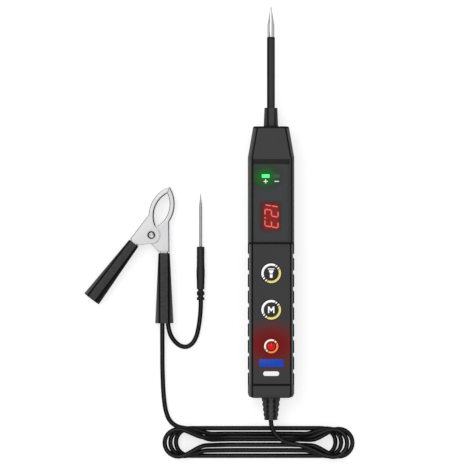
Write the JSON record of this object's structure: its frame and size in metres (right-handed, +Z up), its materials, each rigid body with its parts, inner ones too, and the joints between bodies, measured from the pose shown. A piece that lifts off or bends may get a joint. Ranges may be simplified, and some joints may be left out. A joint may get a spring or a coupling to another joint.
{
  "type": "circuit tester",
  "caption": "Pen-type vehicle circuit tester with a probe needle, lit display and keys, and a ground lead with a steel clamp and a short needle probe.",
  "frame": {"origin": "on the surface that the pen lies on, under the middle of the pen's own box", "axes": "+Y along the pen towards its needle, +Z up out of the face with the keys, +X across the pen"},
  "size_m": [0.1766, 0.2952, 0.0243],
  "materials": {
    "housing": "fine moulded texture",
    "smoked_window": "smooth, tinted",
    "panel": "satin overlay",
    "grip_rubber": "soft matte",
    "key_black": "satin",
    "key_red": "lit from behind",
    "lit_ring": "lit from behind",
    "lit_ring_amber": "lit from behind",
    "led_green": "lit",
    "led_red": "unlit",
    "display_block": "figures lit red",
    "board_green": "solder mask",
    "switch_metal": "satin",
    "buzzer_black": "matte",
    "led_clear": "clear lens",
    "screw_steel": "zinc plated",
    "collar_plastic": "satin",
    "needle_steel": "polished, ground point",
    "sleeve_black": "shrunk tube",
    "brass_strip": "plain",
    "relief_rubber": "matte moulded",
    "lead_rubber": "smooth soft sheath",
    "clamp_steel": "bright nickel plate, satin",
    "rivet_steel": "bright",
    "spring_steel": "plain",
    "handle_vinyl": "soft vinyl, satin",
    "probe_handle_plastic": "satin",
    "small_needle_steel": "polished"
  },
  "bodies": {
    "tester": {"rear_cover": "housing", "front_cover": "housing", "display_window": "smoked_window", "control_panel": "panel", "left_grip": "grip_rubber", "right_grip": "grip_rubber", "torch_ring": "lit_ring", "mode_ring": "lit_ring", "power_ring": "lit_ring_amber", "positive_led": "led_green", "negative_led": "led_red", "digit_display": "display_block", "circuit_board": "board_green", "key_switches": "switch_metal", "buzzer": "buzzer_black", "torch_leds": "led_clear", "cover_screws": "screw_steel", "nose_collar": "collar_plastic", "probe_needle": "needle_steel", "probe_sleeve": "sleeve_black", "needle_terminal": "brass_strip", "strain_relief": "relief_rubber", "pen_lead": "lead_rubber", "lead_hank": "lead_rubber", "clamp_lead": "lead_rubber", "small_lead": "lead_rubber", "clamp_fixed_half": "clamp_steel", "clamp_rivet": "rivet_steel", "clamp_spring": "spring_steel", "fixed_handle_sleeve": "handle_vinyl", "small_probe_handle": "probe_handle_plastic", "small_probe_needle": "small_needle_steel"},
    "torch_key": {"torch_key": "key_black"},
    "mode_key": {"mode_key": "key_black"},
    "power_key": {"power_key": "key_red"},
    "clamp_lever": {"clamp_lever": "clamp_steel", "lever_handle_sleeve": "handle_vinyl"}
  },
  "joints": [
    {"name": "torch_key_press", "type": "slide", "parent": "tester", "child": "torch_key", "axis": [0, 0, -1], "range_m": [0, 0.0005], "stiffness_N_per_m": 1500},
    {"name": "mode_key_press", "type": "slide", "parent": "tester", "child": "mode_key", "axis": [0, 0, -1], "range_m": [0, 0.0005], "stiffness_N_per_m": 1500},
    {"name": "power_key_press", "type": "slide", "parent": "tester", "child": "power_key", "axis": [0, 0, -1], "range_m": [0, 0.0005], "stiffness_N_per_m": 1500},
    {"name": "clamp_hinge", "type": "hinge", "parent": "tester", "child": "clamp_lever", "pos_m": [-0.078, -0.0144, 0.0052], "axis": [0, 0, 1], "range_deg": [0, 30], "stiffness_Nm_per_rad": 0.5, "springref_deg": -11.46, "deforming": ["clamp_spring"]}
  ]
}
